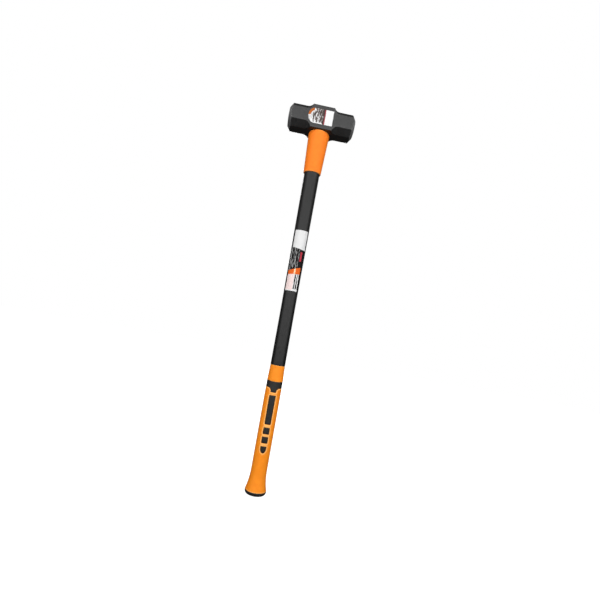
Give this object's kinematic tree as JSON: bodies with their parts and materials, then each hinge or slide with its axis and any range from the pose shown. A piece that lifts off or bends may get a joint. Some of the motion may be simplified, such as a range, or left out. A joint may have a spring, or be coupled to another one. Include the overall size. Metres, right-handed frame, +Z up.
{
  "type": "sledgehammer",
  "caption": "Long two-handed sledgehammer: octagonal double-faced head, fibreglass shaft in a black jacket, orange overstrike guard and a flared orange grip with black pads.",
  "frame": {"origin": "centre of the flat under the butt cap", "axes": "+Z up the handle to the head, +X along the head to one striking face, -Y is the front, where the stickers are"},
  "size_m": [0.157, 0.0503, 0.914],
  "materials": {
    "head_lacquer": "black lacquer over forged steel, with ground striking faces",
    "epoxy": "cast black resin",
    "seal_rubber": "plain moulded rubber",
    "fibreglass": "sawn pultruded glass fibre and resin",
    "jacket_plastic": "satin moulded black plastic with a fine grain",
    "guard_rubber": "smooth satin orange rubber",
    "grip_rubber": "satin orange soft grip rubber",
    "pad_rubber": "matt black soft rubber with a fine texture",
    "cap_rubber": "matt black rubber",
    "sticker": "printed gloss sticker with plain colour blocks"
  },
  "bodies": {
    "root": {"hammer_head": "head_lacquer", "eye_epoxy": "epoxy", "eye_seal_ring": "seal_rubber", "handle_core": "fibreglass", "handle_jacket": "jacket_plastic", "overstrike_guard": "guard_rubber", "head_label": "sticker", "shaft_label": "sticker", "grip_ring": "grip_rubber", "grip_band": "pad_rubber", "grip_sleeve": "grip_rubber", "butt_cap": "cap_rubber", "grip_bar_front": "pad_rubber", "grip_bar_back": "pad_rubber", "grip_block_upper_front": "pad_rubber", "grip_block_upper_back": "pad_rubber", "grip_block_lower_front": "pad_rubber", "grip_block_lower_back": "pad_rubber", "grip_bullet_front": "pad_rubber", "grip_bullet_back": "pad_rubber"}
  },
  "joints": []
}
